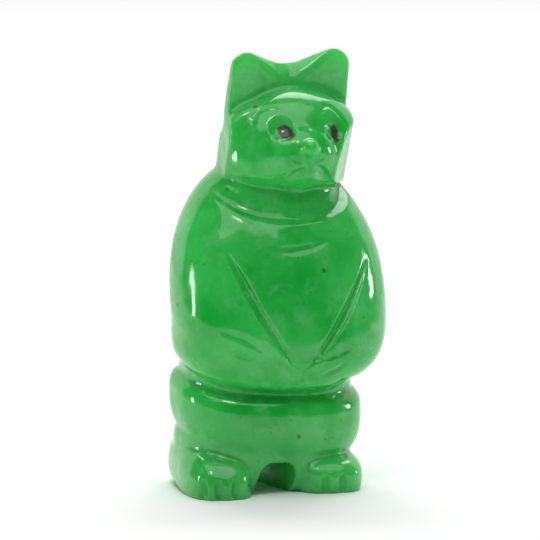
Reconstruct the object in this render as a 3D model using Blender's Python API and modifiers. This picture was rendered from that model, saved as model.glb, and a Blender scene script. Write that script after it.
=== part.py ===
"""A small standing bear carved from one piece of green stone, with its paws folded on its belly.

The figure is one solid. It is roughed out from rounded masses, each a ball stretched to its own
half sizes. Cutters then carve the ears, throat, chest, paws, toes and face, and the whole is
polished until its edges are soft. It faces -Y, +X is its own left, and it stands on Z = 0.
"""

import math

import bmesh
import bpy
from mathutils import Matrix, Vector

MM = 0.001

# Feet and legs. They are cut by hand, so the two feet are unlike.
RIGHT_FOOT_CENTRE = -6.8 * MM
RIGHT_FOOT_HALF_WIDTH = 4.1 * MM
RIGHT_FOOT_HEIGHT = 6.4 * MM
RIGHT_FOOT_WIDEST = 2.0 * MM
RIGHT_TOE_GAPS = (-9.7 * MM, -8.2 * MM, -6.2 * MM)
LEFT_FOOT_CENTRE = 5.45 * MM
LEFT_FOOT_HALF_WIDTH = 4.6 * MM
LEFT_FOOT_HEIGHT = 5.2 * MM
LEFT_FOOT_WIDEST = 3.1 * MM
LEFT_TOE_GAPS = (4.4 * MM, 7.0 * MM)
FOOT_FRONT = 9.0 * MM
FOOT_BACK = 7.6 * MM
SOLE_WEAR = 0.9 * MM
TOE_CUT_HEIGHT = 2.6 * MM
TOE_CUT_WIDTH = 1.0 * MM
LEG_CENTRE = -0.6 * MM
LEG_HALF_WIDTH = 9.9 * MM
LEG_FRONT = 7.9 * MM
LEG_BACK = 7.1 * MM
LEG_TOP = 10.0 * MM
ARCH_CENTRE = -1.2 * MM
ARCH_HALF_WIDTH = 2.4 * MM
ARCH_HEIGHT = 3.9 * MM

# Hips
HIPS_HALF_WIDTH = 10.9 * MM
HIPS_FRONT = 8.9 * MM
HIPS_BACK = 8.6 * MM
HIPS_WIDEST = 9.6 * MM
HIPS_UP = 3.3 * MM
HIPS_DOWN = 5.4 * MM
HIPS_TILT = (-0.06, 0.14)

# Body, from the waist groove to the shoulders
BODY_SIDE = 1.25 * MM
BODY_AHEAD = 0.8 * MM
BODY_HALF_WIDTH = 12.45 * MM
BODY_FRONT = 9.2 * MM
BODY_BACK = 8.8 * MM
BODY_WIDEST = 22.0 * MM
BODY_UP = 16.0 * MM
BODY_DOWN = 9.6 * MM
BODY_SWAY = (0.03, 0.18)
BODY_TILT = (-0.06, 0.10)
WAIST_HALF_WIDTH = 9.9 * MM
WAIST_HALF_DEPTH = 7.9 * MM
WAIST_LEVEL = 12.6 * MM
WAIST_HALF_HEIGHT = 5.0 * MM

# Belly, which hangs over the waist groove
BELLY_SIDE = 1.1 * MM
BELLY_HALF_WIDTH = 11.4 * MM
BELLY_FRONT = 8.9 * MM
BELLY_BACK = 8.2 * MM
BELLY_WIDEST = 18.6 * MM
BELLY_UP = 6.0 * MM
BELLY_DOWN = 6.0 * MM
BELLY_TILT = (0.05, 0.14)

# Carving on the body: the sunken chest between two long grooves, and the lines of the paws.
# Each line is three places (X, Z) on the front of the stone.
CHEST_SINK = 0.8 * MM
CHEST_TOP = 28.7 * MM
ARM_GROOVE_WIDTH = 1.5 * MM
RIGHT_ARM_GROOVE = ((-7.1 * MM, 28.2 * MM), (-3.9 * MM, 21.0 * MM), (0.5 * MM, 14.3 * MM))
LEFT_ARM_GROOVE = ((10.0 * MM, 26.6 * MM), (6.1 * MM, 20.3 * MM), (1.2 * MM, 14.3 * MM))
PAW_LINE_WIDTH = 0.9 * MM
PAW_LINES = (
    ((-8.2 * MM, 18.9 * MM), (-5.3 * MM, 17.6 * MM), (-2.4 * MM, 16.2 * MM)),
    ((-7.4 * MM, 16.6 * MM), (-5.1 * MM, 15.6 * MM), (-2.9 * MM, 15.0 * MM)),
    ((3.0 * MM, 15.3 * MM), (6.0 * MM, 16.0 * MM), (9.4 * MM, 17.2 * MM)),
)

# Neck and throat
NECK_SIDE = 1.6 * MM
NECK_RADIUS = 6.9 * MM
NECK_LEVEL = 33.0 * MM
NECK_HALF_HEIGHT = 5.0 * MM
THROAT_LEVEL = 32.3 * MM
THROAT_REACH = 5.7 * MM
THROAT_RADIUS = 5.2 * MM
THROAT_HALF_WIDTH = 9.6 * MM
THROAT_UP = 3.0 * MM
THROAT_DOWN = 2.7 * MM

# Head, modelled about X = 0 and then set on the neck
HEAD_SIDE = 2.5 * MM
HEAD_TURN = math.radians(4.0)
HEAD_ROLL = math.radians(-0.9)
HEAD_HALF_WIDTH = 7.15 * MM
SKULL_LEVEL = 39.0 * MM
SKULL_FRONT = 3.0 * MM
SKULL_BACK = 4.4 * MM
SKULL_UP = 8.6 * MM
SKULL_DOWN = 5.4 * MM
FACE_LEVEL = 39.4 * MM
FACE_FRONT = 6.9 * MM
FACE_BACK = 5.4 * MM
FACE_UP = 7.0 * MM
FACE_DOWN = 5.0 * MM
MUZZLE_REACH = 8.2 * MM
MUZZLE_RADIUS = 4.6 * MM
MUZZLE_LEVEL = 38.2 * MM
MUZZLE_HALF_WIDTH = 5.0 * MM
MUZZLE_HALF_HEIGHT = 4.0 * MM
NOSE_REACH = 9.1 * MM
NOSE_LEVEL = 39.3 * MM
NOSE_RADIUS = 1.2 * MM
EYE_LEVEL = 41.7 * MM
RIGHT_EYE = -3.8 * MM
LEFT_EYE = 3.2 * MM
EYE_DISH_RADIUS = 4.2 * MM
EYE_DISH_SINK = 0.55 * MM
MOUTH_LEVEL = 36.3 * MM
MOUTH_WIDTH = 1.3 * MM
MOUTH_DROP = 0.9 * MM
MOUTH_START = 0.4 * MM
MOUTH_END = 2.7 * MM

# Ears
EAR_SIDE = 0.2 * MM
EAR_HALF_WIDTH = 7.35 * MM
EAR_TIP = 50.4 * MM
EAR_ROOT = 41.0 * MM
EAR_FRONT = 3.2 * MM
EAR_BACK = 2.0 * MM
EAR_HOLLOW_RADIUS = 9.8 * MM
EAR_HOLLOW_AHEAD = 11.0 * MM
EAR_HOLLOW_LEVEL = 52.6 * MM
EAR_VALLEY = 48.9 * MM
EAR_VALLEY_SIDE = 1.0 * MM
EAR_VALLEY_SLOPE = math.radians(14.5)
EAR_VALLEY_FALL = math.radians(22.0)
EAR_VALLEY_ROLL = math.radians(-3.7)

# How finely the stone is worked, how far the polish rounds it, and how many faces are kept
GRAIN = 0.22 * MM
POLISH_PASSES = 6
KEPT_FACES = 9500

BALL_SEGMENTS = 48
BALL_RINGS = 32
CLEAR = 20.0 * MM

STONE_COLOUR = (0.07, 0.37, 0.12, 1.0)
STONE_ROUGHNESS = 0.15


def clear_scene():
    for old in list(bpy.data.objects):
        bpy.data.objects.remove(old, do_unlink=True)


def collection(name):
    made = bpy.data.collections.new(name)
    bpy.context.scene.collection.children.link(made)
    return made


def hide(group):
    for helper in group.objects:
        helper.hide_render = True
        helper.display_type = "WIRE"


def finish_mesh(name, group, shape):
    bmesh.ops.recalc_face_normals(shape, faces=shape.faces)
    mesh = bpy.data.meshes.new(name)
    shape.to_mesh(mesh)
    shape.free()
    made = bpy.data.objects.new(name, mesh)
    group.objects.link(made)
    return made


def signed_power(value, power):
    return math.copysign(abs(value) ** power, value)


def pebble(
    name, group, centre, half_width, front, back, up, down,
    plan=2.0, top=2.0, bottom=2.0, sway=(0.0, 0.0), tilt=(0.0, 0.0),
):
    """A ball stretched by its own amount each way.

    plan, top and bottom are 2 for an ellipse and more for a box. sway moves each level aside and
    back by these shares of its height. tilt lifts each point by shares of its side and depth.
    """
    shape = bmesh.new()
    bmesh.ops.create_uvsphere(shape, u_segments=BALL_SEGMENTS, v_segments=BALL_RINGS, radius=1.0)
    for vertex in shape.verts:
        x, y, z = vertex.co
        turn = math.atan2(y, x)
        upright = 2.0 / (top if z > 0 else bottom)
        reach = signed_power(math.hypot(x, y), upright)
        rise = signed_power(z, upright) * (up if z > 0 else down)
        side = signed_power(math.cos(turn), 2.0 / plan) * reach * half_width
        depth = signed_power(math.sin(turn), 2.0 / plan) * reach * (back if y > 0 else front)
        lift = tilt[0] * side + tilt[1] * depth
        moved = Vector((side + sway[0] * rise, depth + sway[1] * rise, rise + lift))
        vertex.co = Vector(centre) + moved
    return finish_mesh(name, group, shape)


def ball(name, group, centre, radius):
    return pebble(name, group, centre, radius, radius, radius, radius, radius)


def prism(name, group, outline, back):
    """A straight bar with this outline in X and Z, from well before the stone to this depth."""
    shape = bmesh.new()
    ends = [[shape.verts.new((x, y, z)) for x, z in outline] for y in (-CLEAR, back)]
    shape.faces.new(ends[0])
    shape.faces.new(reversed(ends[1]))
    for i, corner in enumerate(ends[0]):
        j = (i + 1) % len(outline)
        shape.faces.new((corner, ends[0][j], ends[1][j], ends[1][i]))
    return finish_mesh(name, group, shape)


def surface_ahead(solids, x, z):
    """Where a tool from the front first meets the solids at this place, and the normal there."""
    start = Vector((x, -1.0, z))
    hits = [solid.ray_cast(start, (0, 1, 0)) for solid in solids]
    met = [(place, normal) for hit, place, normal, face in hits if hit]
    return min(met, key=lambda found: found[0].y)


def through(route, share):
    """The place at this share of a curve that starts, bends and ends at the route's three places."""
    start, middle, end = (Vector(place) for place in route)
    bend = middle * 2 - (start + end) / 2
    return start * (1 - share) ** 2 + bend * 2 * share * (1 - share) + end * share ** 2


def engrave(name, group, solids, route, width, sink=0.0, steps=16):
    """A groove as a round graver leaves it: along the route on the surface, and thin at its ends."""
    line = bpy.data.curves.new(name, "CURVE")
    line.dimensions = "3D"
    line.bevel_depth = width / 2
    line.bevel_resolution = 2
    line.use_fill_caps = True
    spline = line.splines.new("POLY")
    spline.points.add(steps)
    for i, point in enumerate(spline.points):
        share = i / steps
        place = surface_ahead(solids, *through(route, share))[0]
        point.co = (place.x, place.y + sink, place.z, 1)
        point.radius = 0.1 + 0.9 * max(math.sin(math.pi * share), 0.0) ** 0.4
    drawn = bpy.data.objects.new(f"{name}_line", line)
    bpy.context.scene.collection.objects.link(drawn)
    bpy.context.view_layer.update()
    evaluated = drawn.evaluated_get(bpy.context.evaluated_depsgraph_get())
    solid = bmesh.new()
    solid.from_mesh(bpy.data.meshes.new_from_object(evaluated))
    bmesh.ops.remove_doubles(solid, verts=solid.verts, dist=width * 0.001)
    bpy.data.objects.remove(drawn)
    return finish_mesh(name, group, solid)


def dish(name, group, solids, x, z, radius, sink):
    """A shallow round hollow, as a ball leaves it when it sinks in square to the surface."""
    place, normal = surface_ahead(solids, x, z)
    return ball(name, group, place + normal * (radius - sink), radius)


def boolean(target, group, operation):
    modifier = target.modifiers.new(f"{operation.title()} {group.name}", "BOOLEAN")
    modifier.operation = operation
    modifier.operand_type = "COLLECTION"
    modifier.collection = group
    modifier.solver = "EXACT"


def settle(made):
    """Makes the shape that the modifiers give the object's own mesh."""
    bpy.context.view_layer.update()
    evaluated = made.evaluated_get(bpy.context.evaluated_depsgraph_get())
    mesh = bpy.data.meshes.new_from_object(evaluated)
    made.modifiers.clear()
    made.data = mesh


def torso(figure, masses):
    body = pebble(
        "bear", figure, (BODY_SIDE, -BODY_AHEAD, BODY_WIDEST),
        BODY_HALF_WIDTH, BODY_FRONT, BODY_BACK, BODY_UP, BODY_DOWN,
        plan=2.4, top=2.12, bottom=3.0, sway=BODY_SWAY, tilt=BODY_TILT,
    )
    pebble(
        "belly", masses, (BELLY_SIDE, -BODY_AHEAD, BELLY_WIDEST),
        BELLY_HALF_WIDTH, BELLY_FRONT, BELLY_BACK, BELLY_UP, BELLY_DOWN,
        plan=2.4, top=2.2, bottom=3.2, tilt=BELLY_TILT,
    )
    pebble(
        "waist", masses, (0, 0, WAIST_LEVEL),
        WAIST_HALF_WIDTH, WAIST_HALF_DEPTH, WAIST_HALF_DEPTH, WAIST_HALF_HEIGHT, WAIST_HALF_HEIGHT,
        plan=2.5, top=4.0, bottom=4.0,
    )
    pebble(
        "neck", masses, (NECK_SIDE, 0, NECK_LEVEL),
        NECK_RADIUS, NECK_RADIUS * 0.9, NECK_RADIUS, NECK_HALF_HEIGHT, NECK_HALF_HEIGHT,
        top=3.0, bottom=3.0, tilt=(-0.06, 0.2),
    )
    return body


def hips_and_feet(masses):
    pebble(
        "hips", masses, (0, 0, HIPS_WIDEST),
        HIPS_HALF_WIDTH, HIPS_FRONT, HIPS_BACK, HIPS_UP, HIPS_DOWN,
        plan=2.5, top=4.6, bottom=2.2, tilt=HIPS_TILT,
    )
    pebble(
        "legs", masses, (LEG_CENTRE, 0, LEG_TOP / 2),
        LEG_HALF_WIDTH, LEG_FRONT, LEG_BACK, LEG_TOP / 2, LEG_TOP / 2 + SOLE_WEAR,
        plan=2.6, top=3.0, bottom=3.0,
    )
    for name, centre, half_width, height, widest in (
        ("right_foot", RIGHT_FOOT_CENTRE, RIGHT_FOOT_HALF_WIDTH, RIGHT_FOOT_HEIGHT, RIGHT_FOOT_WIDEST),
        ("left_foot", LEFT_FOOT_CENTRE, LEFT_FOOT_HALF_WIDTH, LEFT_FOOT_HEIGHT, LEFT_FOOT_WIDEST),
    ):
        pebble(
            name, masses, (centre, 0, widest),
            half_width, FOOT_FRONT, FOOT_BACK, height - widest, widest + SOLE_WEAR,
            plan=2.8, top=2.6, bottom=2.2, tilt=(-0.06, 0.12),
        )


def set_head(made):
    """Turns and tips a piece of the head, modelled about X = 0, to where the head sits on the neck."""
    neck = Vector((0, 0, SKULL_LEVEL))
    turned = Matrix.Rotation(HEAD_ROLL, 4, "Y") @ Matrix.Rotation(HEAD_TURN, 4, "Z")
    aside = Vector((HEAD_SIDE, 0, 0))
    made.data.transform(Matrix.Translation(neck + aside) @ turned @ Matrix.Translation(-neck))
    return made


def head(masses):
    set_head(pebble(
        "skull", masses, (0, SKULL_FRONT / 3, SKULL_LEVEL),
        HEAD_HALF_WIDTH, SKULL_FRONT, SKULL_BACK, SKULL_UP, SKULL_DOWN,
        plan=4.0, top=2.6, bottom=3.0, sway=(0, -0.22),
    ))
    set_head(pebble(
        "face", masses, (0, 0, FACE_LEVEL),
        HEAD_HALF_WIDTH, FACE_FRONT, FACE_BACK, FACE_UP, FACE_DOWN,
        plan=2.4, top=2.2, bottom=2.8,
    ))
    set_head(pebble(
        "muzzle", masses, (0, MUZZLE_RADIUS - MUZZLE_REACH, MUZZLE_LEVEL),
        MUZZLE_HALF_WIDTH, MUZZLE_RADIUS, MUZZLE_RADIUS / 2, MUZZLE_HALF_HEIGHT, MUZZLE_HALF_HEIGHT,
    ))
    set_head(ball("nose", masses, (0, NOSE_RADIUS - NOSE_REACH, NOSE_LEVEL), NOSE_RADIUS))


def ears(masses, cutters):
    """The block that both ears are cut from: a hollow before it, and a valley between the tips."""
    block = set_head(pebble(
        "ear_block", masses, (EAR_SIDE, 0, EAR_ROOT),
        EAR_HALF_WIDTH, EAR_FRONT, EAR_BACK, EAR_TIP - EAR_ROOT, EAR_ROOT - SKULL_LEVEL,
        plan=5.0, top=7.0, bottom=4.0,
    ))
    set_head(pebble(
        "ear_hollow", cutters, (0, -EAR_HOLLOW_AHEAD, EAR_HOLLOW_LEVEL),
        CLEAR, EAR_HOLLOW_RADIUS, EAR_HOLLOW_RADIUS, EAR_HOLLOW_RADIUS, EAR_HOLLOW_RADIUS,
        plan=6.0,
    ))
    rise = CLEAR * math.tan(EAR_VALLEY_SLOPE)
    valley = prism(
        "ear_valley", cutters,
        [(0, 0), (CLEAR, rise), (CLEAR, CLEAR), (-CLEAR, CLEAR), (-CLEAR, rise)],
        CLEAR,
    )
    fall = Matrix.Rotation(EAR_VALLEY_ROLL, 4, "Y") @ Matrix.Rotation(EAR_VALLEY_FALL, 4, "X")
    valley.data.transform(Matrix.Translation((EAR_VALLEY_SIDE, EAR_BACK, EAR_VALLEY)) @ fall)
    set_head(valley)
    boolean(block, cutters, "DIFFERENCE")


def cut_legs(solids, cutters):
    for foot, gaps in (("right_foot", RIGHT_TOE_GAPS), ("left_foot", LEFT_TOE_GAPS)):
        for i, x in enumerate(gaps):
            route = ((x, TOE_CUT_WIDTH / 3), (x, TOE_CUT_HEIGHT / 2), (x, TOE_CUT_HEIGHT))
            engrave(f"{foot}_toe_gap_{i + 1}", cutters, solids, route, TOE_CUT_WIDTH, steps=6)
    pebble(
        "arch", cutters, (ARCH_CENTRE, 0, 0),
        ARCH_HALF_WIDTH, CLEAR, CLEAR, ARCH_HEIGHT, ARCH_HEIGHT, plan=9.0, top=4.0,
    )


def cut_chest(solids, cutters, chest_core):
    right_top, right_middle, right_end = RIGHT_ARM_GROOVE
    left_top, left_middle, left_end = LEFT_ARM_GROOVE
    lowest = ((right_end[0] + left_end[0]) / 2, right_end[1] - ARM_GROOVE_WIDTH / 3)
    recess = prism(
        "chest_recess", cutters,
        [(right_top[0], CHEST_TOP), right_middle, lowest, left_middle, (left_top[0], CHEST_TOP)],
        0,
    )
    pebble(
        "chest", chest_core, (BODY_SIDE, -BODY_AHEAD, BODY_WIDEST),
        BODY_HALF_WIDTH - CHEST_SINK, BODY_FRONT - CHEST_SINK, BODY_BACK, BODY_UP, BODY_DOWN,
        plan=2.6, top=2.3, bottom=3.0, sway=BODY_SWAY, tilt=BODY_TILT,
    )
    boolean(recess, chest_core, "DIFFERENCE")
    for side, route in (("right", RIGHT_ARM_GROOVE), ("left", LEFT_ARM_GROOVE)):
        engrave(f"{side}_arm_groove", cutters, solids, route, ARM_GROOVE_WIDTH, sink=CHEST_SINK / 3)
    for i, route in enumerate(PAW_LINES):
        engrave(f"paw_line_{i + 1}", cutters, solids, route, PAW_LINE_WIDTH)


def cut_throat(cutters):
    pebble(
        "throat", cutters, (BODY_SIDE, -THROAT_REACH - THROAT_RADIUS, THROAT_LEVEL),
        THROAT_HALF_WIDTH, THROAT_RADIUS, THROAT_RADIUS, THROAT_UP, THROAT_DOWN, tilt=(-0.04, 0),
    )


def cut_face(solids, cutters):
    centre = HEAD_SIDE + FACE_FRONT * math.sin(HEAD_TURN)
    for name, side, eye in (("right", -1, RIGHT_EYE), ("left", 1, LEFT_EYE)):
        dish(
            f"{name}_eye_dish", cutters, solids, centre + eye, EYE_LEVEL, EYE_DISH_RADIUS, EYE_DISH_SINK,
        )
        start = (centre + side * MOUTH_START, MOUTH_LEVEL + MOUTH_DROP)
        middle = (centre + side * (MOUTH_START + MOUTH_END) / 2, MOUTH_LEVEL)
        end = (centre + side * MOUTH_END, MOUTH_LEVEL - MOUTH_DROP)
        engrave(f"{name}_mouth", cutters, solids, (start, middle, end), MOUTH_WIDTH, sink=-MOUTH_WIDTH / 6)


def rough_out_and_polish(body):
    remesh = body.modifiers.new("Rough out", "REMESH")
    remesh.mode = "VOXEL"
    remesh.voxel_size = GRAIN
    polish = body.modifiers.new("Polish", "SMOOTH")
    polish.factor = 0.5
    polish.iterations = POLISH_PASSES


def stand_on_origin(body, floor_cutter):
    """Thins the mesh, cuts the soles flat and brings the middle of the base to the origin."""
    thin = body.modifiers.new("Thin out", "DECIMATE")
    thin.ratio = KEPT_FACES / (2 * len(body.data.polygons))
    floor = bmesh.new()
    bmesh.ops.create_cube(floor, size=2 * CLEAR)
    below = finish_mesh("below_the_soles", floor_cutter, floor)
    below.data.transform(Matrix.Translation((0, 0, -CLEAR)))
    boolean(body, floor_cutter, "DIFFERENCE")
    settle(body)
    xs = [vertex.co.x for vertex in body.data.vertices]
    ys = [vertex.co.y for vertex in body.data.vertices]
    middle = Vector(((min(xs) + max(xs)) / 2, (min(ys) + max(ys)) / 2, 0))
    body.data.transform(Matrix.Translation(-middle))
    body.data.shade_smooth()


def green_stone():
    stone = bpy.data.materials.new("green_stone")
    stone.use_nodes = True
    shader = stone.node_tree.nodes["Principled BSDF"]
    shader.inputs["Base Color"].default_value = STONE_COLOUR
    shader.inputs["Roughness"].default_value = STONE_ROUGHNESS
    shader.inputs["Metallic"].default_value = 0.0
    return stone


def build():
    clear_scene()
    figure = collection("standing_bear")
    masses = collection("masses")
    ear_cutters = collection("ear_cutters")
    chest_core = collection("chest_core")
    cutters = collection("cutters")
    floor_cutter = collection("floor_cutter")

    body = torso(figure, masses)
    hips_and_feet(masses)
    head(masses)
    ears(masses, ear_cutters)
    bpy.context.view_layer.update()
    solids = [body, *masses.objects]
    cut_legs(solids, cutters)
    cut_chest(solids, cutters, chest_core)
    cut_throat(cutters)
    cut_face(solids, cutters)

    boolean(body, masses, "UNION")
    boolean(body, cutters, "DIFFERENCE")
    rough_out_and_polish(body)
    settle(body)
    stand_on_origin(body, floor_cutter)
    body.data.materials.clear()
    body.data.materials.append(green_stone())
    for helpers in (masses, ear_cutters, chest_core, cutters, floor_cutter):
        hide(helpers)


build()
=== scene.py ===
"""Dresses the carved stone bear: the polished figure, its cloudy green stone and a pale studio.

The figure is roughed out from rounded masses, carved with cutters shaped like the marks of a
carving wheel, and then polished. It stands where the fixed frame's solid stands.
"""

import math

import bpy
from mathutils import Matrix, Vector


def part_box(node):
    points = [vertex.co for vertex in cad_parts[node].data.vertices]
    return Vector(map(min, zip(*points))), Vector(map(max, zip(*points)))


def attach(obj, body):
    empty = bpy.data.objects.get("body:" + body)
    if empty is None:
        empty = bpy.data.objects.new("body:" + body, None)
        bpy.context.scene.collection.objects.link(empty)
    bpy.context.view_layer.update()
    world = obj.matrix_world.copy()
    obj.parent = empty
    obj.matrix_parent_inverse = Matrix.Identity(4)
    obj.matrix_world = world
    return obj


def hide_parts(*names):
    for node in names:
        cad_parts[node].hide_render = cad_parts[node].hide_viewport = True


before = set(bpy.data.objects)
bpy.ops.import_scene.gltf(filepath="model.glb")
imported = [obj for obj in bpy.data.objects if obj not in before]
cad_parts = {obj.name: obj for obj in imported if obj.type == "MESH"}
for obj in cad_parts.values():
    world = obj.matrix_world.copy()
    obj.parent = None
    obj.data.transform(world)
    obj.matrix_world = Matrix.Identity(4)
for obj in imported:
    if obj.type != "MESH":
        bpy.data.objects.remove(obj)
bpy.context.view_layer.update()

bl_info = {
    "name": "Carved stone bear",
    "version": (1, 0, 0),
    "blender": (4, 5, 0),
    "location": "View3D > Sidebar > Bear",
    "description": "Models a small polished bear carved from green stone, and the studio around it",
    "category": "Object",
}

MM = 0.001
FIGURE_MIDDLE = Vector((0.0, 0.0, 25.0 * MM))

# Head, modelled about X = 0 and then set on the neck
SKULL_LEVEL = 39.0 * MM

# Depth of the flat front of the ears
EAR_FRONT = -0.5 * MM

# How far the ears' middle lies to the figure's left of the head's middle
EAR_MIDDLE = 0.6 * MM

# The trunk: its middle, its half width and its reach to the front, back, top and bottom, and how
# it leans
TRUNK_MIDDLE = (1.25 * MM, -0.8 * MM, 22.0 * MM)
TRUNK = (12.45 * MM, 9.2 * MM, 8.8 * MM, 16.0 * MM, 9.6 * MM)
TRUNK_LEAN = {"sway": (0.03, 0.18), "tilt": (-0.06, 0.10)}

# How much wider the head is roughed out than its sides are ground
TRIM = 1.5 * MM

# How far the right foot turns out, and how far the gap between the feet turns in
FOOT_TURN = math.radians(-6.5)
ARCH_TURN = math.radians(9.0)

# How round the balls are that everything starts from, and a reach that is clear of the stone
BALL_SEGMENTS = 96
BALL_RINGS = 64
CLEAR = 20.0 * MM

# Passes of the polishing wheel over the head before its sides are ground
HEAD_POLISH = 12

# Edges that turn by less than this are shown as polished round
SHARP_EDGE = math.radians(50.0)


def select_only(piece):
    for other in bpy.context.selected_objects:
        other.select_set(False)
    piece.select_set(True)
    bpy.context.view_layer.objects.active = piece


def clear_selection():
    for other in bpy.context.selected_objects:
        other.select_set(False)


def edit(piece, chosen=None):
    """Opens a piece in edit mode with the vertices selected whose place passes the test."""
    select_only(piece)
    mesh = piece.data
    for part in (mesh.polygons, mesh.edges):
        part.foreach_set("select", [False] * len(part))
    mesh.vertices.foreach_set(
        "select", [chosen is None or chosen(vertex.co) for vertex in mesh.vertices]
    )
    bpy.ops.object.mode_set(mode="EDIT")
    bpy.ops.mesh.select_mode(type="VERT")


def leave():
    bpy.ops.object.mode_set(mode="OBJECT")


def settle(piece):
    """Puts the object's own place and turn into its mesh."""
    select_only(piece)
    bpy.ops.object.transform_apply(location=True, rotation=True, scale=True)
    return piece


def squared(value, power):
    return math.copysign(abs(value) ** power, value)


def square_off(piece, plan, top, bottom):
    """Swells a round ball towards a box: 2 leaves it round, more makes it squarer."""
    for vertex in piece.data.vertices:
        x, y, z = vertex.co
        turn = math.atan2(y, x)
        upright = 2.0 / (top if z > 0 else bottom)
        reach = squared(math.hypot(x, y), upright)
        vertex.co = (
            squared(math.cos(turn), 2.0 / plan) * reach,
            squared(math.sin(turn), 2.0 / plan) * reach,
            squared(z, upright),
        )


def add_mass(
    name, centre, half_width, front, back, up, down,
    plan=2.0, top=2.0, bottom=2.0, sway=(0.0, 0.0), tilt=(0.0, 0.0),
):
    """A ball that is squared off, stretched by its own amount each way, and leant.

    sway moves each level aside and back by these shares of its height, and tilt lifts each point
    by shares of its side and depth.
    """
    clear_selection()
    bpy.ops.mesh.primitive_uv_sphere_add(segments=BALL_SEGMENTS, ring_count=BALL_RINGS, radius=1.0)
    mass = bpy.context.object
    mass.name = name
    square_off(mass, plan, top, bottom)
    for chosen, stretch in (
        (None, (half_width, back, up)),
        (lambda place: place.y < 0, (1.0, front / back, 1.0)),
        (lambda place: place.z < 0, (1.0, 1.0, down / up)),
    ):
        edit(mass, chosen)
        bpy.ops.transform.resize(value=stretch, center_override=(0.0, 0.0, 0.0))
        leave()
    sheared = Matrix.Identity(4)
    sheared[0][2], sheared[1][2] = sway
    sheared[2][0], sheared[2][1] = tilt
    mass.data.transform(Matrix.Translation(centre) @ sheared)
    return mass


def add_ball(name, centre, radius):
    return add_mass(name, centre, radius, radius, radius, radius, radius)


def add_prism(name, outline, back):
    """A straight bar with this outline in X and Z, from well before the stone to this depth."""
    clear_selection()
    bpy.ops.mesh.primitive_circle_add(vertices=len(outline), fill_type="NGON")
    bar = bpy.context.object
    bar.name = name
    for vertex, (x, z) in zip(bar.data.vertices, outline):
        vertex.co = (x, -CLEAR, z)
    edit(bar)
    bpy.ops.mesh.extrude_region_move(TRANSFORM_OT_translate={"value": (0.0, CLEAR + back, 0.0)})
    bpy.ops.mesh.select_all(action="SELECT")
    bpy.ops.mesh.normals_make_consistent(inside=False)
    leave()
    return bar


def join(pieces, name):
    clear_selection()
    for piece in pieces:
        piece.select_set(True)
    bpy.context.view_layer.objects.active = pieces[0]
    bpy.ops.object.join()
    pieces[0].name = name
    return pieces[0]


def apply(piece, kind, **settings):
    """Adds a modifier with these settings and applies it."""
    select_only(piece)
    modifier = piece.modifiers.new(kind.title(), kind)
    for setting, value in settings.items():
        setattr(modifier, setting, value)
    bpy.ops.object.modifier_apply(modifier=modifier.name)


def carve(piece, cutter, operation="DIFFERENCE"):
    apply(piece, "BOOLEAN", operation=operation, object=cutter, solver="MANIFOLD")
    bpy.data.objects.remove(cutter)


def surface_ahead(piece, x, z):
    """Where a tool from the front first meets the piece at this place, and the normal there."""
    hit, place, normal, face = piece.ray_cast((x, -1.0, z), (0.0, 1.0, 0.0))
    if not hit:
        raise RuntimeError(f"nothing of {piece.name} lies ahead of x {x}, z {z}")
    return place, normal


def through(route, share):
    """The place at this share of the curve through a route's start, middle and end."""
    start, middle, end = (Vector(place) for place in route)
    bend = middle * 2 - (start + end) / 2
    return start * (1 - share) ** 2 + bend * 2 * share * (1 - share) + end * share ** 2


def engrave(piece, route, width, depth, steps=24, blunt=0.6):
    """Cuts a groove along a route on the front, as a round wheel leaves it: thin at its ends."""
    clear_selection()
    bpy.ops.curve.primitive_nurbs_path_add()
    line = bpy.context.object
    drawn = line.data
    drawn.splines.remove(drawn.splines[0])
    wheel = (width * width / 4 + depth * depth) / (2 * depth)
    drawn.bevel_depth = wheel
    drawn.bevel_resolution = 5
    drawn.use_fill_caps = True
    spline = drawn.splines.new("POLY")
    spline.points.add(steps)
    for i, point in enumerate(spline.points):
        share = i / steps
        place, normal = surface_ahead(piece, *through(route, share))
        taper = 0.06 + 0.94 * max(math.sin(math.pi * share), 0.0) ** blunt
        place = place + normal * (wheel - depth) * taper
        point.co = (*place, 1.0)
        point.radius = taper
    select_only(line)
    bpy.ops.object.convert(target="MESH")
    edit(line)
    bpy.ops.mesh.remove_doubles(threshold=width * 0.001)
    bpy.ops.mesh.normals_make_consistent(inside=False)
    leave()
    carve(piece, line)


def half_space(place, out):
    """A block that holds everything beyond this place, the way out."""
    clear_selection()
    bpy.ops.mesh.primitive_cube_add(size=2 * CLEAR, location=(0.0, 0.0, CLEAR))
    block = settle(bpy.context.object)
    turned = Vector(out).to_track_quat("Z", "Y").to_matrix().to_4x4()
    block.data.transform(Matrix.Translation(place) @ turned)
    return block


def grind(piece, place, out):
    """Grinds a piece flat at this place, square to the way out."""
    carve(piece, half_space(place, out))


def sink_dish(piece, x, z, radius, sink):
    """Cuts a shallow round hollow, as a ball leaves it when it sinks in square to the surface."""
    place, normal = surface_ahead(piece, x, z)
    carve(piece, add_ball("dish", place + normal * (radius - sink), radius))


def set_head(piece, head):
    """Turns and tips a piece of the head, modelled about X = 0, to where the head sits."""
    neck = Vector((0.0, 0.0, SKULL_LEVEL))
    turned = Matrix.Rotation(head.roll, 4, "Y") @ Matrix.Rotation(head.turn, 4, "Z")
    aside = Vector((head.side, 0.0, 0.0))
    piece.data.transform(Matrix.Translation(neck + aside) @ turned @ Matrix.Translation(-neck))
    return piece


def length(name, description, default):
    return bpy.props.FloatProperty(
        name=name, description=description, default=default, min=0.0, unit="LENGTH",
        subtype="DISTANCE", precision=5,
    )


def turn(name, description, degrees):
    return bpy.props.FloatProperty(
        name=name, description=description, default=math.radians(degrees), unit="ROTATION",
        subtype="ANGLE",
    )


def share(name, description, default):
    return bpy.props.FloatProperty(
        name=name, description=description, default=default, min=0.0, max=1.0, subtype="FACTOR",
    )


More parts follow.
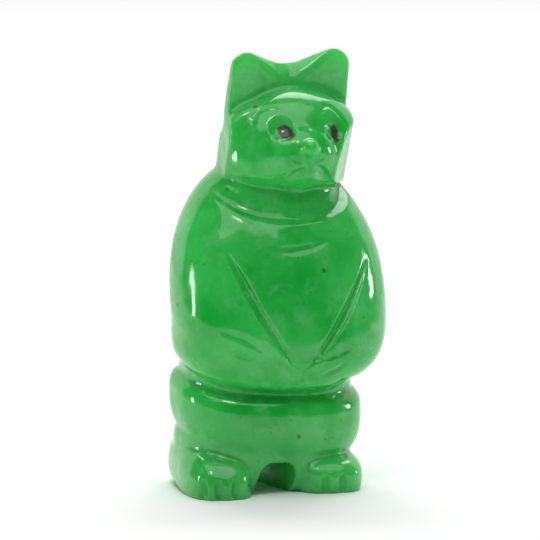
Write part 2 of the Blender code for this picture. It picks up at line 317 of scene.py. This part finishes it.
def colour(name, description, default):
    return bpy.props.FloatVectorProperty(
        name=name, description=description, default=default, size=4, min=0.0, max=1.0,
        subtype="COLOR",
    )


class BearHead(bpy.types.PropertyGroup):
    """Where the head sits and how large it is."""

    side: length("Side", "How far the head sits to the figure's left", 2.5 * MM)
    box_turn: turn("Box turn", "How far the flat sides of the head turn to the figure's left", -5.5)
    box_roll: turn("Box roll", "How far the flat sides of the head lean to the figure's left", 4.6)
    turn: turn("Turn", "How far the head looks to the figure's left", 4.0)
    roll: turn("Roll", "How far the head tips to its side", -0.9)
    half_width: length("Half width", "Half of the head's width", 7.25 * MM)
    ear_tip: length("Ear tip", "Height of the ear tips above the ground", 50.4 * MM)
    valley: turn("Valley", "Half of the angle of the scoop between the ears", 58.0)
    valley_lean: turn("Valley lean", "How far the scoop between the ears leans to the front", 24.0)


class BearCarving(bpy.types.PropertyGroup):
    """The marks that the carving wheel leaves."""

    arm_groove: length("Arm groove", "Width of the two long grooves beside the chest", 1.25 * MM)
    paw_line: length("Paw line", "Width of the lines on the paws", 0.95 * MM)
    toe_cut: length("Toe cut", "Width of the cuts between the toes", 1.0 * MM)
    chest_sink: length("Chest sink", "How far the chest lies behind the arms", 0.4 * MM)
    grain: length("Grain", "Size of the finest detail that the polish leaves", 0.19 * MM)
    polish: bpy.props.IntProperty(
        name="Polish", description="Passes of the polishing wheel", default=4, min=0, max=40,
    )
    faces: bpy.props.IntProperty(
        name="Faces", description="Triangles kept on the finished figure", default=190000,
        min=10000,
    )


class StoneLook(bpy.types.PropertyGroup):
    """Colours and finish of the stone."""

    deep: colour("Deep green", "Colour of the clear, deep parts", (0.001, 0.41, 0.04, 1.0))
    cloud: colour("Cloudy green", "Colour of the milky clouds", (0.035, 0.54, 0.085, 1.0))
    # This colour is partly the stone's own milky wisps and partly painted light: a painted glow
    # through the thin top, a painted floor reflection low down and painted light on the figure's
    # left side.
    milk_and_painted_light: colour("Milk", "Colour of the thin, milky parts and the wisps", (0.10, 0.55, 0.16, 1.0))
    fleck: colour("Fleck", "Colour of the dark flecks", (0.03, 0.09, 0.02, 1.0))
    eye: colour("Eye", "Colour of the dark pigment in the eyes", (0.025, 0.035, 0.03, 1.0))
    rust: colour("Rust", "Colour of the brown rims of the eyes", (0.10, 0.07, 0.02, 1.0))
    roughness: share("Roughness", "Roughness of the polished stone", 0.07)
    glow: share("Glow", "How much light travels through the stone", 0.5)


class StageLook(bpy.types.PropertyGroup):
    """The studio and the camera."""

    azimuth: turn("Azimuth", "How far the camera stands round to the figure's left", -20.0)
    elevation: turn("Elevation", "How far the camera looks down", 7.0)
    distance: length("Distance", "From the camera to the figure", 0.45)
    backdrop: colour("Backdrop", "Colour of the floor", (0.98, 0.98, 0.98, 1.0))
    opening: turn("Opening", "How far round from the camera the white walls begin", 117.0)
    opening_blur: turn("Opening blur", "Half of the soft edge where the walls begin", 3.0)
    wall_glow: bpy.props.FloatProperty(
        name="Wall glow", description="How bright the white walls are", default=1.02, min=0.0,
    )
    room_glow: bpy.props.FloatProperty(
        name="Room glow", description="How bright the room behind the camera is", default=0.15,
        min=0.0,
    )


def add_body_masses():
    return [
        add_mass("body", TRUNK_MIDDLE, *TRUNK, plan=2.4, top=2.12, bottom=3.0, **TRUNK_LEAN),
        add_mass(
            "belly", (-0.5 * MM, -0.8 * MM, 18.0 * MM), 10.5 * MM, 8.9 * MM, 8.2 * MM, 6.0 * MM,
            5.2 * MM, plan=2.4, top=2.2, bottom=4.5, tilt=(-0.06, 0.2),
        ),
        add_mass(
            "waist", (0.0, 0.0, 12.6 * MM), 9.8 * MM, 7.3 * MM, 7.6 * MM, 5.0 * MM, 5.0 * MM,
            plan=2.5, top=4.0, bottom=4.0,
        ),
        add_mass(
            "neck", (1.6 * MM, 0.0, 33.0 * MM), 6.9 * MM, 6.2 * MM, 6.9 * MM, 5.0 * MM, 5.0 * MM,
            top=3.0, bottom=3.0, tilt=(-0.06, 0.2),
        ),
    ]


def splay(piece, angle, x, y=0.0):
    """Turns a piece about the upright through this X and Y."""
    upright = Vector((x, y, 0.0))
    turned = Matrix.Rotation(angle, 4, "Z")
    piece.data.transform(Matrix.Translation(upright) @ turned @ Matrix.Translation(-upright))
    return piece


def add_leg_masses():
    return [
        add_mass(
            "hips", (0.0, 0.0, 9.6 * MM), 10.9 * MM, 8.7 * MM, 8.6 * MM, 3.3 * MM, 6.6 * MM,
            plan=2.5, top=4.6, bottom=2.6, tilt=(-0.06, 0.19),
        ),
        add_mass(
            "legs", (-0.6 * MM, 0.0, 5.0 * MM), 9.9 * MM, 8.0 * MM, 7.1 * MM, 5.0 * MM, 5.9 * MM,
            plan=2.6, top=3.0, bottom=3.0,
        ),
        splay(add_foot(
            "right_foot", (-6.8 * MM, 0.0, 2.0 * MM), 4.1 * MM, 9.3 * MM, 7.6 * MM, 4.0 * MM,
            2.9 * MM, plan=3.0, top=2.6, bottom=3.2, tilt=(-0.06, 0.1),
        ), FOOT_TURN, -6.8 * MM),
        add_foot(
            "left_foot", (5.45 * MM, 0.0, 2.7 * MM), 4.6 * MM, 9.3 * MM, 7.6 * MM, 2.5 * MM,
            3.6 * MM, plan=3.0, top=2.6, bottom=3.0, tilt=(-0.06, 0.1),
        ),
    ]


def add_foot(name, *sizes, **shape):
    """A rounded block whose top is filed down to a slope with a sharp edge over the toes."""
    foot = add_mass(name, *sizes, **shape)
    grind(foot, (0.0, -8.9 * MM, 2.7 * MM), (0.0, -0.78, 0.62))
    return foot


def add_head(head, grain):
    wide = head.half_width + TRIM
    skull = add_mass(
        "skull", (0.0, 0.4 * MM, SKULL_LEVEL), wide, 3.0 * MM, 3.4 * MM, 5.6 * MM, 5.0 * MM,
        plan=4.0, top=2.4, bottom=4.0, sway=(0.0, -0.22),
    )
    face = add_mass(
        "face", (0.8 * MM, 0.0, 37.4 * MM), wide, 6.9 * MM, 3.0 * MM, 8.1 * MM, 3.2 * MM,
        plan=2.3, top=2.1, bottom=3.0,
    )
    muzzle = add_mass(
        "muzzle", (-0.4 * MM, -3.6 * MM, 38.2 * MM), 5.0 * MM, 4.6 * MM, 2.3 * MM, 4.0 * MM,
        4.0 * MM,
    )
    nose = add_ball("nose", (-0.7 * MM, -8.3 * MM, 39.3 * MM), 1.05 * MM)
    block = join([skull, face, muzzle, nose, add_ears(head)], "head")
    apply(block, "REMESH", mode="VOXEL", voxel_size=grain)
    apply(block, "SMOOTH", factor=0.5, iterations=HEAD_POLISH)
    set_head(block, head)
    for side in (-1, 1):
        grind_side(block, head, side)
    grind(block, (6.85 * MM, -6.2 * MM, 38.3 * MM), (0.82, -0.53, -0.22))
    grind(block, (-5.0 * MM, -3.4 * MM, 35.7 * MM), (-0.58, -0.12, -0.8))
    return block


def grind_side(block, head, side):
    """Grinds the side of the head flat, with a shallow round dish for the ear's opening."""
    lean = Matrix.Rotation(head.box_roll, 3, "Y") @ Matrix.Rotation(head.box_turn, 3, "Z")
    out = lean @ Vector((side, 0.0, 0.0))
    middle = Vector((head.side, 0.0, 41.0 * MM)) + out * head.half_width
    grind(block, middle, out)
    radius, sink = 4.5 * MM, 0.4 * MM
    back = lean @ Vector((0.0, 2.2 * MM, 0.4 * MM))
    carve(block, add_ball("side_dish", middle + back + out * (radius - sink), radius))


def add_ears(head):
    """The block that both ears are cut from: a hollow before it, and a valley between the tips."""
    root = 41.0 * MM
    block = add_mass(
        "ears", (EAR_MIDDLE, 0.0, root), 7.95 * MM, 2.6 * MM, 3.2 * MM, head.ear_tip - root,
        root - SKULL_LEVEL, plan=5.0, top=6.0, bottom=4.0, sway=(0.0, -0.28),
    )
    clear_selection()
    bpy.ops.mesh.primitive_cube_add(size=2 * CLEAR, location=(0.0, EAR_FRONT - CLEAR, root + CLEAR))
    carve(block, settle(bpy.context.object))
    deep = 14.0 * MM
    clear_selection()
    bpy.ops.mesh.primitive_cone_add(
        vertices=2 * BALL_SEGMENTS, radius1=0.0, radius2=deep * math.tan(head.valley), depth=deep,
        location=(0.0, 0.0, deep / 2),
    )
    valley = settle(bpy.context.object)
    lean = Matrix.Rotation(head.valley_lean, 4, "X")
    apex = (EAR_MIDDLE, EAR_FRONT - 0.4 * MM, 45.8 * MM)
    valley.data.transform(Matrix.Translation(apex) @ lean)
    carve(block, valley)
    return block


def cut_legs(bear, carving):
    """Cuts the gap between the feet, which turns about its front end, and the cuts of the toes."""
    middle = -1.3 * MM
    arch = add_mass(
        "arch", (middle, 0.0, 0.0), 2.2 * MM, CLEAR, CLEAR, 3.7 * MM, 3.7 * MM, plan=9.0, top=4.0,
    )
    carve(bear, splay(arch, ARCH_TURN, middle, -7.0 * MM))
    for x in (-10.3 * MM, -8.8 * MM, -6.8 * MM, 4.0 * MM, 6.1 * MM):
        route = ((x, -0.1 * MM), (x, 1.0 * MM), (x, 2.5 * MM))
        engrave(bear, route, carving.toe_cut, carving.toe_cut / 2, steps=10, blunt=0.4)


def cut_throat(bear):
    """Cuts the shoulders down to a slope around the neck, which leaves the edge of the collar."""
    slope = half_space((-0.1 * MM, -7.0 * MM, 30.5 * MM), (0.02, -0.51, 0.86))
    column = add_mass(
        "column", (0.9 * MM, 0.0, 33.0 * MM), 7.5 * MM, 5.2 * MM, 8.0 * MM, 9.0 * MM, 9.0 * MM,
        plan=2.2, top=9.0, bottom=9.0, sway=(0.0, 0.45),
    )
    carve(slope, column)
    carve(bear, slope)


def cut_chest(bear, carving):
    """Cuts the two long grooves, the lines of the paws and the sunken chest between the arms."""
    right = ((-7.1 * MM, 28.2 * MM), (-3.9 * MM, 21.0 * MM), (0.5 * MM, 14.3 * MM))
    left = ((10.0 * MM, 26.6 * MM), (6.1 * MM, 20.3 * MM), (1.2 * MM, 14.3 * MM))
    for route in (right, left):
        engrave(bear, route, carving.arm_groove, 0.55 * carving.arm_groove, blunt=0.5)
    lines = (
        ((-8.4 * MM, 19.0 * MM), (-6.0 * MM, 18.2 * MM), (-3.6 * MM, 16.6 * MM)),
        ((-7.8 * MM, 16.9 * MM), (-5.8 * MM, 16.2 * MM), (-3.8 * MM, 15.3 * MM)),
        ((-3.4 * MM, 15.9 * MM), (-1.8 * MM, 15.2 * MM), (-0.2 * MM, 14.1 * MM)),
        ((1.8 * MM, 15.7 * MM), (4.5 * MM, 15.9 * MM), (7.2 * MM, 16.9 * MM)),
        ((2.8 * MM, 13.6 * MM), (4.8 * MM, 14.1 * MM), (6.6 * MM, 15.3 * MM)),
    )
    for route in lines:
        engrave(bear, route, carving.paw_line, 0.25 * carving.paw_line)
    top = ((-2.6 * MM, 28.3 * MM), (1.2 * MM, 27.9 * MM), (5.6 * MM, 28.9 * MM))
    engrave(bear, top, 1.5 * MM, 0.3 * MM)
    sink = carving.chest_sink
    recess = add_prism(
        "recess",
        [
            (-8.3 * MM, 31.0 * MM), right[1], (0.85 * MM, 13.9 * MM), left[1],
            (12.7 * MM, 31.0 * MM),
        ],
        0.0,
    )
    half_width, front, *others = TRUNK
    core = add_mass(
        "chest", TRUNK_MIDDLE, half_width - sink, front - sink, *others,
        plan=2.7, top=3.4, bottom=3.2, **TRUNK_LEAN,
    )
    carve(recess, core)
    carve(bear, recess)


# Marks on the face: where each starts, bends and ends in X and Z, its width and its depth, in mm
FACE_MARKS = (
    (((-2.9, 40.6), (-1.9, 43.2), (1.5, 43.4)), 0.8, 0.2),
    (((4.4, 42.2), (6.2, 43.6), (8.0, 41.2)), 0.7, 0.2),
    (((0.2, 38.5), (0.9, 37.8), (1.8, 38.0)), 0.6, 0.2),
    (((2.5, 37.4), (3.5, 37.8), (4.6, 38.5)), 0.6, 0.2),
    (((2.6, 37.5), (4.2, 36.4), (5.8, 35.3)), 1.6, 0.45),
    (((2.3, 37.1), (1.2, 36.4), (0.1, 35.6)), 1.2, 0.35),
    (((1.6, 43.0), (2.6, 43.3), (3.7, 42.9)), 0.9, 0.12),
)


def cut_face(bear):
    sink_dish(bear, -0.05 * MM, 41.2 * MM, 2.6 * MM, 0.55 * MM)
    sink_dish(bear, 6.3 * MM, 41.0 * MM, 2.2 * MM, 0.5 * MM)
    for route, width, depth in FACE_MARKS:
        engrave(bear, [(x * MM, z * MM) for x, z in route], width * MM, depth * MM, blunt=0.7)


def cut_soles(bear):
    clear_selection()
    bpy.ops.mesh.primitive_cube_add(size=2 * CLEAR, location=(0.0, 0.0, -CLEAR))
    carve(bear, settle(bpy.context.object))


def stand_in_frame(bear):
    """Moves the figure so that the middle of its base is where the frame has it."""
    low = [min(vertex.co[axis] for vertex in bear.data.vertices) for axis in range(3)]
    high = [max(vertex.co[axis] for vertex in bear.data.vertices) for axis in range(3)]
    frame_low, frame_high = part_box("bear")
    aside = (frame_low.x + frame_high.x - low[0] - high[0]) / 2
    back = (frame_low.y + frame_high.y - low[1] - high[1]) / 2
    bear.data.transform(Matrix.Translation((aside, back, frame_low.z - low[2])))
    return Vector((aside, back, 0.0))


class BEAR_OT_carve(bpy.types.Operator):
    """Rough out, carve and polish the whole bear"""

    bl_idname = "bear.carve"
    bl_label = "Carve bear"
    bl_options = {"REGISTER", "UNDO"}

    def execute(self, context):
        head = context.scene.bear_head
        carving = context.scene.bear_carving
        bear = join(add_body_masses(), "carved_bear")
        apply(bear, "REMESH", mode="VOXEL", voxel_size=carving.grain)
        cut_throat(bear)
        apply(bear, "REMESH", mode="VOXEL", voxel_size=carving.grain)
        apply(bear, "SMOOTH", factor=0.5, iterations=4 * carving.polish)
        join([bear, *add_leg_masses(), add_head(head, carving.grain)], "carved_bear")
        apply(bear, "REMESH", mode="VOXEL", voxel_size=carving.grain)
        apply(bear, "SMOOTH", factor=0.5, iterations=carving.polish)
        cut_chest(bear, carving)
        cut_legs(bear, carving)
        cut_face(bear)
        apply(bear, "REMESH", mode="VOXEL", voxel_size=carving.grain)
        apply(bear, "SMOOTH", factor=0.5, iterations=carving.polish)
        apply(bear, "TRIANGULATE")
        apply(bear, "DECIMATE", ratio=min(1.0, carving.faces / len(bear.data.polygons)))
        cut_soles(bear)
        shift = stand_in_frame(bear)
        select_only(bear)
        bpy.ops.object.shade_smooth_by_angle(angle=SHARP_EDGE)
        bear.data.materials.clear()
        bear.data.materials.append(green_stone(context.scene.stone_look, shift))
        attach(bear, "root")
        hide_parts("bear")
        return {"FINISHED"}


class Nodes:
    """Adds nodes to a material and links them by name."""

    def __init__(self, material):
        material.use_nodes = True
        self.tree = material.node_tree
        self.shader = self.tree.nodes["Principled BSDF"]

    def add(self, kind, inputs=(), **settings):
        node = self.tree.nodes.new(kind)
        for setting, value in settings.items():
            setattr(node, setting, value)
        for name, value in dict(inputs).items():
            if isinstance(value, bpy.types.NodeSocket):
                self.tree.links.new(value, node.inputs[name])
            else:
                node.inputs[name].default_value = value
        return node

    def link(self, source, name):
        self.tree.links.new(source, self.shader.inputs[name])

    def math(self, operation, first, second=0.0):
        return self.add("ShaderNodeMath", {0: first, 1: second}, operation=operation).outputs[0]

    def ramp(self, value, low, high, top=1.0):
        """Rises smoothly from 0 where the value is low to the top where it is high."""
        return self.add(
            "ShaderNodeMapRange",
            {"Value": value, "From Min": low, "From Max": high, "To Max": top},
            interpolation_type="SMOOTHSTEP",
        ).outputs["Result"]

    def mix(self, factor, first, second):
        mixed = self.add("ShaderNodeMix", {0: factor, 6: first, 7: second}, data_type="RGBA")
        return mixed.outputs[2]

    def noise(self, place, scale, detail=4.0, distortion=0.0):
        return self.add(
            "ShaderNodeTexNoise",
            {
                "Vector": place, "Scale": scale, "Detail": detail, "Roughness": 0.6,
                "Distortion": distortion,
            },
        ).outputs["Fac"]

    def flecks(self, place, scale, size, rare):
        """Small spots: 1 within this share of a cell's size of the few cells that have one."""
        cells = self.add("ShaderNodeTexVoronoi", {"Vector": place, "Scale": scale})
        lot = self.add("ShaderNodeSeparateColor", {"Color": cells.outputs["Color"]}).outputs["Red"]
        near = self.ramp(cells.outputs["Distance"], size, size * 0.5)
        return self.math("MULTIPLY", near, self.math("GREATER_THAN", lot, rare))


# The two eyes as marked on the stone, before it is moved into place: the middle of each, its half
# width and its half height
EYES = (
    ((0.35 * MM, -5.7 * MM, 40.9 * MM), 0.78 * MM, 0.78 * MM),
    ((6.4 * MM, -5.6 * MM, 40.6 * MM), 0.5 * MM, 0.95 * MM),
)


def eye_distance(nodes, place, shift):
    """How far a place is from the nearer eye, in shares of the eye's size, with a ragged edge."""
    nearest = None
    for middle, half_width, half_height in EYES:
        aside = nodes.add(
            "ShaderNodeVectorMath", {0: place, 1: tuple(Vector(middle) + shift)},
            operation="SUBTRACT",
        ).outputs[0]
        scaled = nodes.add(
            "ShaderNodeVectorMath", {0: aside, 1: (1 / half_width, 0.3 / MM, 1 / half_height)},
            operation="MULTIPLY",
        ).outputs[0]
        reach = nodes.add("ShaderNodeVectorMath", {0: scaled}, operation="LENGTH").outputs["Value"]
        nearest = reach if nearest is None else nodes.math("MINIMUM", nearest, reach)
    ragged = nodes.math("MULTIPLY_ADD", nodes.noise(place, 1600.0), 0.9)
    ragged.node.inputs[2].default_value = -0.45
    return nodes.math("ADD", nearest, ragged)


def green_stone(look, shift):
    """Cloudy green stone with dark flecks and the eyes, painted lighter at the top, low down and on
    its left side as light and reflections, under a thin, slightly wavy polish.
    """
    stone = bpy.data.materials.new("green_stone")
    nodes = Nodes(stone)
    place = nodes.add("ShaderNodeTexCoord").outputs["Object"]
    axes = nodes.add("ShaderNodeSeparateXYZ", {"Vector": place}).outputs

    clouds = nodes.noise(place, 110.0, 6.0, 0.3)
    wisps = nodes.noise(place, 420.0, 7.0, 0.25)
    body = nodes.mix(nodes.ramp(clouds, 0.36, 0.62), tuple(look.deep), tuple(look.cloud))

    # Painted light: the top, where the ears are thin, is painted milky for light glowing through
    # them.
    thin = nodes.ramp(axes["Z"], 42.0 * MM, 48.0 * MM, 0.55)
    # Painted reflection: the lowest parts are painted milky for the white floor they reflect.
    low = nodes.ramp(axes["Z"], 10.0 * MM, 4.0 * MM, 0.25)
    # Painted light: the figure's left side is painted milky for the light falling on it.
    aside = nodes.ramp(axes["X"], 3.0 * MM, 11.0 * MM, 0.3)
    # The three ramps above are painted light; only the wisps added next are the stone's own milky
    # tone.
    milky = nodes.math("ADD", nodes.math("ADD", thin, low), aside)
    milky = nodes.math("ADD", milky, nodes.ramp(wisps, 0.46, 0.72, 0.6))
    body = nodes.mix(nodes.math("MINIMUM", milky, 0.9), body, tuple(look.milk_and_painted_light))

    shade = nodes.ramp(nodes.noise(place, 900.0, 5.0, 0.8), 0.58, 0.36, 0.22)
    body = nodes.mix(shade, body, tuple(look.deep))

    ragged = nodes.add("ShaderNodeTexNoise", {"Vector": place, "Scale": 2200.0}).outputs["Color"]
    offset = nodes.add(
        "ShaderNodeVectorMath", {0: ragged, "Scale": 0.4 * MM}, operation="SCALE",
    ).outputs[0]
    bent = nodes.add("ShaderNodeVectorMath", {0: place, 1: offset}, operation="ADD").outputs[0]
    pepper = nodes.math("MULTIPLY", nodes.flecks(bent, 900.0, 0.16, 0.8), 0.55)
    spots = nodes.math("MULTIPLY", nodes.flecks(bent, 330.0, 0.12, 0.86), 0.8)
    body = nodes.mix(nodes.math("MAXIMUM", pepper, spots), body, tuple(look.fleck))

    eye = eye_distance(nodes, place, shift)
    pigment = nodes.mix(nodes.ramp(eye, 0.6, 0.95), tuple(look.eye), tuple(look.rust))
    marked = nodes.ramp(eye, 1.12, 0.9, 0.93)
    nodes.link(nodes.mix(marked, body, pigment), "Base Color")

    worn = nodes.ramp(nodes.noise(place, 260.0, 6.0, 0.5), 0.42, 0.72, 0.12)
    nodes.link(nodes.math("ADD", worn, look.roughness), "Roughness")
    waves = nodes.add(
        "ShaderNodeBump",
        {"Height": nodes.noise(place, 190.0, 2.0), "Strength": 0.35, "Distance": 0.5 * MM},
    ).outputs["Normal"]
    pits = nodes.add(
        "ShaderNodeBump",
        {
            "Height": nodes.noise(place, 1500.0, 4.0), "Strength": 0.12, "Distance": 0.06 * MM,
            "Normal": waves,
        },
    ).outputs["Normal"]
    nodes.link(pits, "Normal")

    shader = nodes.shader
    shader.inputs["IOR"].default_value = 1.55
    shader.inputs["Subsurface Weight"].default_value = look.glow
    shader.inputs["Subsurface Radius"].default_value = (0.25, 1.0, 0.35)
    shader.inputs["Subsurface Scale"].default_value = 0.004
    return stone


def pale_floor(look):
    paper = bpy.data.materials.new("pale_floor")
    nodes = Nodes(paper)
    nodes.shader.inputs["Base Color"].default_value = tuple(look.backdrop)
    nodes.shader.inputs["Roughness"].default_value = 0.9
    nodes.shader.inputs["Specular IOR Level"].default_value = 0.0
    return paper


def seen_from(azimuth, elevation):
    """The direction from the figure to what stands at this azimuth and elevation."""
    level = math.cos(elevation)
    return Vector((math.sin(azimuth) * level, -math.cos(azimuth) * level, math.sin(elevation)))


# Lamps: name, azimuth and elevation, distance, width and height, and how bright their cloth is
LAMPS = (
    ("ceiling", math.radians(160.0), math.radians(54.0), 1.5, (1.4, 0.7), 3.6),
    ("sky", math.radians(-20.0), math.radians(74.0), 1.5, (1.7, 1.4), 1.5),
    ("top_box", math.radians(-30.0), math.radians(62.0), 1.2, (0.2, 0.2), 10.0),
    ("left_box", math.radians(-106.0), math.radians(4.0), 0.5, (0.08, 0.14), 12.0),
    ("right_box", math.radians(86.0), math.radians(10.0), 0.5, (0.06, 0.12), 12.0),
)


def add_light(name, azimuth, elevation, distance, size, glow):
    back = seen_from(azimuth, elevation)
    clear_selection()
    bpy.ops.object.light_add(type="AREA", location=FIGURE_MIDDLE + back * distance)
    lamp = bpy.context.object
    lamp.name = name
    lamp.data.shape = "RECTANGLE"
    lamp.data.size, lamp.data.size_y = size
    lamp.data.energy = glow * math.pi * size[0] * size[1]
    lamp.rotation_euler = back.to_track_quat("Z", "Y").to_euler()
    return lamp


def studio_walls(look):
    """White walls behind and beside the figure, and a dim room behind the camera."""
    walls = bpy.data.worlds.new("studio_walls")
    walls.use_nodes = True
    tree = walls.node_tree
    direction = tree.nodes.new("ShaderNodeTexCoord")
    facing = tree.nodes.new("ShaderNodeVectorMath")
    facing.operation = "DOT_PRODUCT"
    facing.inputs[1].default_value = seen_from(look.azimuth, 0.0)
    tree.links.new(direction.outputs["Generated"], facing.inputs[0])
    edge = tree.nodes.new("ShaderNodeMapRange")
    edge.interpolation_type = "SMOOTHSTEP"
    edge.inputs["From Min"].default_value = math.cos(look.opening + look.opening_blur)
    edge.inputs["From Max"].default_value = math.cos(look.opening - look.opening_blur)
    edge.inputs["To Min"].default_value = look.wall_glow
    edge.inputs["To Max"].default_value = look.room_glow
    tree.links.new(facing.outputs["Value"], edge.inputs["Value"])
    tree.links.new(edge.outputs["Result"], tree.nodes["Background"].inputs["Strength"])
    tree.nodes["Background"].inputs["Color"].default_value = (1.0, 1.0, 1.0, 1.0)
    return walls


class BEAR_OT_set_stage(bpy.types.Operator):
    """Lay the pale floor, hang the soft lights and stand the camera where the photographer stood"""

    bl_idname = "bear.set_stage"
    bl_label = "Set stage"
    bl_options = {"REGISTER", "UNDO"}

    def execute(self, context):
        look = context.scene.stage_look
        clear_selection()
        bpy.ops.mesh.primitive_plane_add(size=6.0)
        floor = bpy.context.object
        floor.name = "floor"
        floor.data.materials.append(pale_floor(look))
        context.scene.world = studio_walls(look)
        for name, azimuth, elevation, distance, size, glow in LAMPS:
            add_light(name, azimuth, elevation, distance, size, glow)
        add_camera(look)
        context.scene.view_settings.view_transform = "Standard"
        return {"FINISHED"}


# The photograph: its width and height, its scale at the figure, and where the middle of the
# figure's base is in it
PHOTO_SIZE = 540.0
PHOTO_PIXELS_PER_MM = 8.71
PHOTO_BASE = (277.6, 483.9)


def add_camera(look):
    back = seen_from(look.azimuth, look.elevation)
    right = Vector((math.cos(look.azimuth), math.sin(look.azimuth), 0.0))
    up = back.cross(right)
    pixel = MM / PHOTO_PIXELS_PER_MM
    aside = (PHOTO_SIZE / 2 - PHOTO_BASE[0]) * pixel
    rise = (PHOTO_BASE[1] - PHOTO_SIZE / 2) * pixel
    clear_selection()
    bpy.ops.object.camera_add(location=right * aside + up * rise + back * look.distance)
    camera = bpy.context.object
    camera.name = "camera"
    camera.rotation_euler = (-back).to_track_quat("-Z", "Y").to_euler()
    camera.data.lens = camera.data.sensor_width * look.distance / (PHOTO_SIZE * pixel)
    camera.data.clip_start = 0.01
    bpy.context.scene.camera = camera


class BEAR_PT_panel(bpy.types.Panel):
    """Lists the bear's sizes and the steps that make it"""

    bl_idname = "BEAR_PT_panel"
    bl_label = "Carved bear"
    bl_space_type = "VIEW_3D"
    bl_region_type = "UI"
    bl_category = "Bear"

    def draw(self, context):
        layout = self.layout
        for heading, settings in (
            ("Head", context.scene.bear_head),
            ("Carving", context.scene.bear_carving),
            ("Stone", context.scene.stone_look),
            ("Stage", context.scene.stage_look),
        ):
            box = layout.box()
            box.label(text=heading)
            for name in settings.__annotations__:
                box.prop(settings, name)
        for step in (BEAR_OT_carve, BEAR_OT_set_stage):
            layout.operator(step.bl_idname)


SETTINGS = {
    "bear_head": BearHead, "bear_carving": BearCarving, "stone_look": StoneLook,
    "stage_look": StageLook,
}
CLASSES = (*SETTINGS.values(), BEAR_OT_carve, BEAR_OT_set_stage, BEAR_PT_panel)


def register():
    for made in CLASSES:
        bpy.utils.register_class(made)
    for name, group in SETTINGS.items():
        setattr(bpy.types.Scene, name, bpy.props.PointerProperty(type=group))


def unregister():
    for name in SETTINGS:
        delattr(bpy.types.Scene, name)
    for made in reversed(CLASSES):
        bpy.utils.unregister_class(made)


def main():
    register()
    bpy.ops.bear.carve()
    bpy.ops.bear.set_stage()


if __name__ == "__main__":
    main()
